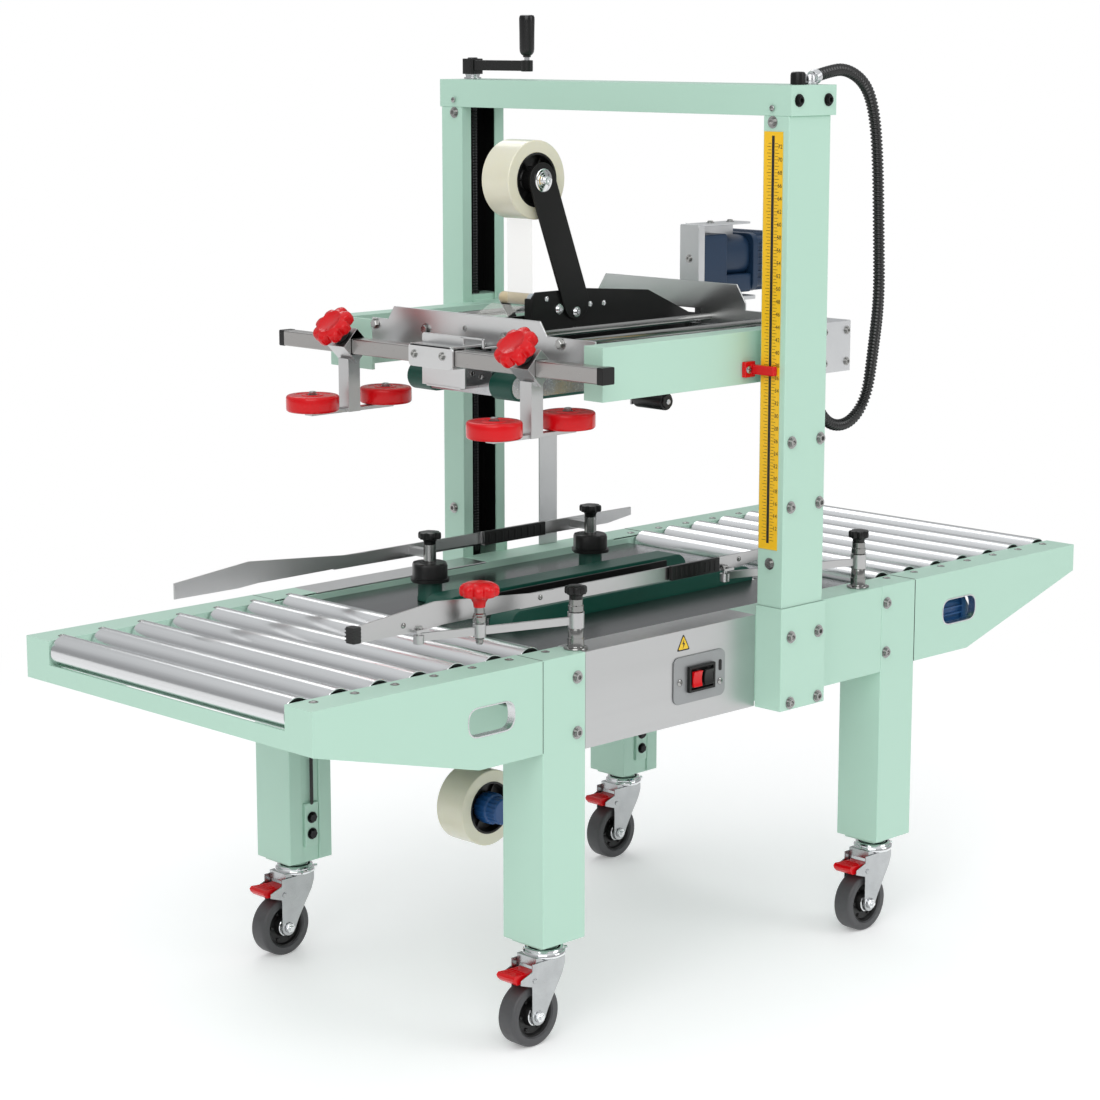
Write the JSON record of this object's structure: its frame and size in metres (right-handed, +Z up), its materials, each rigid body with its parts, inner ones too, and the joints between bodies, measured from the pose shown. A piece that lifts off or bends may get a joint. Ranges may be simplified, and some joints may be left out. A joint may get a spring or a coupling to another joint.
{
  "type": "carton sealing machine",
  "caption": "Carton sealer with driven top and bottom belts, a screw-lifted taping head on a portal mast, side squeeze wheels and roller tables on locking casters.",
  "frame": {"origin": "on the floor under the middle of the machine's length and width", "axes": "+X is the way the cartons travel, from infeed to outfeed; +Z up; -Y is the operator's side with the switch"},
  "size_m": [1.8, 0.812, 1.56],
  "materials": {
    "mint_paint": "satin powder coat",
    "stainless": "brushed",
    "dark_steel": "worn and polished by cartons",
    "chrome": "bright",
    "zinc": "zinc plated",
    "roller_steel": "zinc plated tube",
    "black_metal": "matt powder coat",
    "black_plastic": "fine grain",
    "red_plastic": "moulded",
    "belt_green": "ribbed",
    "motor_blue": "cast, painted",
    "tape": "wound film",
    "scale_yellow": "printed",
    "tyre_grey": "moulded",
    "hose_black": "corrugated"
  },
  "bodies": {
    "frame": {"infeed_table": "mint_paint", "outfeed_table": "mint_paint", "infeed_rollers": "roller_steel", "outfeed_rollers": "roller_steel", "bed_frame": "mint_paint", "side_panels": "stainless", "deck_plates": "dark_steel", "legs": "mint_paint", "inner_legs": "mint_paint", "mast_columns": "mint_paint", "mast_brackets": "mint_paint", "top_beam": "mint_paint", "height_scale": "scale_yellow", "guide_posts": "stainless", "switch_plate": "stainless", "lower_belts": "belt_green", "lower_belt_beds": "stainless", "lower_motor": "motor_blue", "lower_tape_head": "black_metal", "frame_bolts": "zinc"},
    "head": {"head_arms": "mint_paint", "head_plates": "stainless", "head_rods": "chrome", "upper_belts": "belt_green", "upper_belt_carriage": "stainless", "upper_tape_head": "black_metal", "upper_motor": "motor_blue", "head_electrics": "zinc", "height_pointer": "red_plastic", "front_bar": "stainless", "hose": "hose_black"},
    "screw_near": {"lift_screw_near": "black_metal"},
    "screw_far": {"lift_screw_far": "zinc", "crank": "black_metal"},
    "grip": {"crank_grip": "black_plastic"},
    "upper_roll": {"upper_tape_roll": "tape"},
    "lower_roll": {"lower_tape_roll": "tape"},
    "press_near": {"side_press_near": "stainless"},
    "press_far": {"side_press_far": "stainless"},
    "knob_near": {"press_knob_near": "red_plastic"},
    "knob_far": {"press_knob_far": "red_plastic"},
    "arm_front": {"guide_arm_front": "stainless"},
    "arm_rear": {"guide_arm_rear": "stainless"},
    "near_guide": {"guide_near": "stainless"},
    "clamp_knob": {"guide_knob": "red_plastic"},
    "far_guide": {"guide_far": "stainless"},
    "stop": {"stop_button": "red_plastic"},
    "start": {"start_button": "black_plastic"},
    "disc_near_front": {"press_disc_near_front": "red_plastic"},
    "disc_near_rear": {"press_disc_near_rear": "red_plastic"},
    "disc_far_front": {"press_disc_far_front": "red_plastic"},
    "disc_far_rear": {"press_disc_far_rear": "red_plastic"},
    "fork_infeed_near": {"caster_fork_infeed_near": "zinc"},
    "wheel_infeed_near": {"caster_wheel_infeed_near": "tyre_grey"},
    "fork_infeed_far": {"caster_fork_infeed_far": "zinc"},
    "wheel_infeed_far": {"caster_wheel_infeed_far": "tyre_grey"},
    "fork_outfeed_near": {"caster_fork_outfeed_near": "zinc"},
    "wheel_outfeed_near": {"caster_wheel_outfeed_near": "tyre_grey"},
    "fork_outfeed_far": {"caster_fork_outfeed_far": "zinc"},
    "wheel_outfeed_far": {"caster_wheel_outfeed_far": "tyre_grey"}
  },
  "joints": [
    {"name": "head_lift", "type": "slide", "parent": "frame", "child": "head", "axis": [0, 0, 1], "range_m": [-0.165, 0.25]},
    {"name": "screw_near_turn", "type": "hinge", "parent": "frame", "child": "screw_near", "pos_m": [0.075, -0.371, 0.9], "axis": [0, 0, 1], "range_deg": [-2970, 4500]},
    {"name": "screw_far_turn", "type": "hinge", "parent": "frame", "child": "screw_far", "pos_m": [0.075, 0.371, 0.9], "axis": [0, 0, 1], "range_deg": [-2970, 4500]},
    {"name": "grip_spin", "type": "hinge", "parent": "screw_far", "child": "grip", "pos_m": [0.075, 0.235, 1.52], "axis": [0, 0, 1], "continuous": true},
    {"name": "upper_roll_spin", "type": "hinge", "parent": "head", "child": "upper_roll", "pos_m": [-0.161, 0, 1.3], "axis": [0, 1, 0], "continuous": true},
    {"name": "lower_roll_spin", "type": "hinge", "parent": "frame", "child": "lower_roll", "pos_m": [-0.268, 0, 0.286], "axis": [0, 1, 0], "continuous": true},
    {"name": "press_near_slide", "type": "slide", "parent": "head", "child": "press_near", "axis": [0, 1, 0], "range_m": [-0.11, 0.13]},
    {"name": "knob_near_turn", "type": "hinge", "parent": "press_near", "child": "knob_near", "pos_m": [-0.35, -0.213, 1.032], "axis": [-0.7071, 0, 0.7071], "range_deg": [-180, 180]},
    {"name": "disc_near_front_spin", "type": "hinge", "parent": "press_near", "child": "disc_near_front", "pos_m": [-0.428, -0.213, 0.944], "axis": [0, 0, 1], "continuous": true},
    {"name": "disc_near_rear_spin", "type": "hinge", "parent": "press_near", "child": "disc_near_rear", "pos_m": [-0.272, -0.213, 0.944], "axis": [0, 0, 1], "continuous": true},
    {"name": "press_far_slide", "type": "slide", "parent": "head", "child": "press_far", "axis": [0, -1, 0], "range_m": [-0.11, 0.13]},
    {"name": "knob_far_turn", "type": "hinge", "parent": "press_far", "child": "knob_far", "pos_m": [-0.35, 0.213, 1.032], "axis": [-0.7071, 0, 0.7071], "range_deg": [-180, 180]},
    {"name": "disc_far_front_spin", "type": "hinge", "parent": "press_far", "child": "disc_far_front", "pos_m": [-0.428, 0.213, 0.944], "axis": [0, 0, 1], "continuous": true},
    {"name": "disc_far_rear_spin", "type": "hinge", "parent": "press_far", "child": "disc_far_rear", "pos_m": [-0.272, 0.213, 0.944], "axis": [0, 0, 1], "continuous": true},
    {"name": "guide_swing", "type": "hinge", "parent": "frame", "child": "arm_front", "pos_m": [-0.36, -0.319, 0.657], "axis": [0, 0, 1], "range_deg": [-55, 10]},
    {"name": "guide_rear_swing", "type": "hinge", "parent": "frame", "child": "arm_rear", "pos_m": [0.312, -0.319, 0.657], "axis": [0, 0, 1], "range_deg": [-55, 10]},
    {"name": "guide_pivot", "type": "hinge", "parent": "arm_front", "child": "near_guide", "pos_m": [-0.61, -0.242, 0.657], "axis": [0, 0, 1], "range_deg": [-10, 55]},
    {"name": "clamp_knob_turn", "type": "hinge", "parent": "arm_front", "child": "clamp_knob", "pos_m": [-0.515, -0.27126, 0.69], "axis": [0, 0, 1], "range_deg": [-180, 180]},
    {"name": "far_guide_slide", "type": "slide", "parent": "frame", "child": "far_guide", "axis": [0, 1, 0], "range_m": [-0.028, 0.078]},
    {"name": "stop_press", "type": "slide", "parent": "frame", "child": "stop", "axis": [0, 1, 0], "range_m": [0, 0.003], "stiffness_N_per_m": 600, "springref_m": -0.001},
    {"name": "start_press", "type": "slide", "parent": "frame", "child": "start", "axis": [0, 1, 0], "range_m": [0, 0.003], "stiffness_N_per_m": 600, "springref_m": -0.001},
    {"name": "swivel_infeed_near", "type": "hinge", "parent": "frame", "child": "fork_infeed_near", "pos_m": [-0.41, -0.301, 0.15], "axis": [0, 0, 1], "continuous": true},
    {"name": "wheel_infeed_near_spin", "type": "hinge", "parent": "fork_infeed_near", "child": "wheel_infeed_near", "pos_m": [-0.444, -0.301, 0.05], "axis": [0, 1, 0], "continuous": true},
    {"name": "swivel_infeed_far", "type": "hinge", "parent": "frame", "child": "fork_infeed_far", "pos_m": [-0.41, 0.301, 0.15], "axis": [0, 0, 1], "continuous": true},
    {"name": "wheel_infeed_far_spin", "type": "hinge", "parent": "fork_infeed_far", "child": "wheel_infeed_far", "pos_m": [-0.444, 0.301, 0.05], "axis": [0, 1, 0], "continuous": true},
    {"name": "swivel_outfeed_near", "type": "hinge", "parent": "frame", "child": "fork_outfeed_near", "pos_m": [0.39, -0.301, 0.15], "axis": [0, 0, 1], "continuous": true},
    {"name": "wheel_outfeed_near_spin", "type": "hinge", "parent": "fork_outfeed_near", "child": "wheel_outfeed_near", "pos_m": [0.356, -0.301, 0.05], "axis": [0, 1, 0], "continuous": true},
    {"name": "swivel_outfeed_far", "type": "hinge", "parent": "frame", "child": "fork_outfeed_far", "pos_m": [0.39, 0.301, 0.15], "axis": [0, 0, 1], "continuous": true},
    {"name": "wheel_outfeed_far_spin", "type": "hinge", "parent": "fork_outfeed_far", "child": "wheel_outfeed_far", "pos_m": [0.356, 0.301, 0.05], "axis": [0, 1, 0], "continuous": true}
  ],
  "couplings": [
    {"joint": "screw_near_turn", "follows": "head_lift", "rad_per_m": 314.16},
    {"joint": "screw_far_turn", "follows": "head_lift", "rad_per_m": 314.16},
    {"joint": "guide_rear_swing", "follows": "guide_swing", "ratio": 1},
    {"joint": "guide_pivot", "follows": "guide_swing", "ratio": -1}
  ]
}
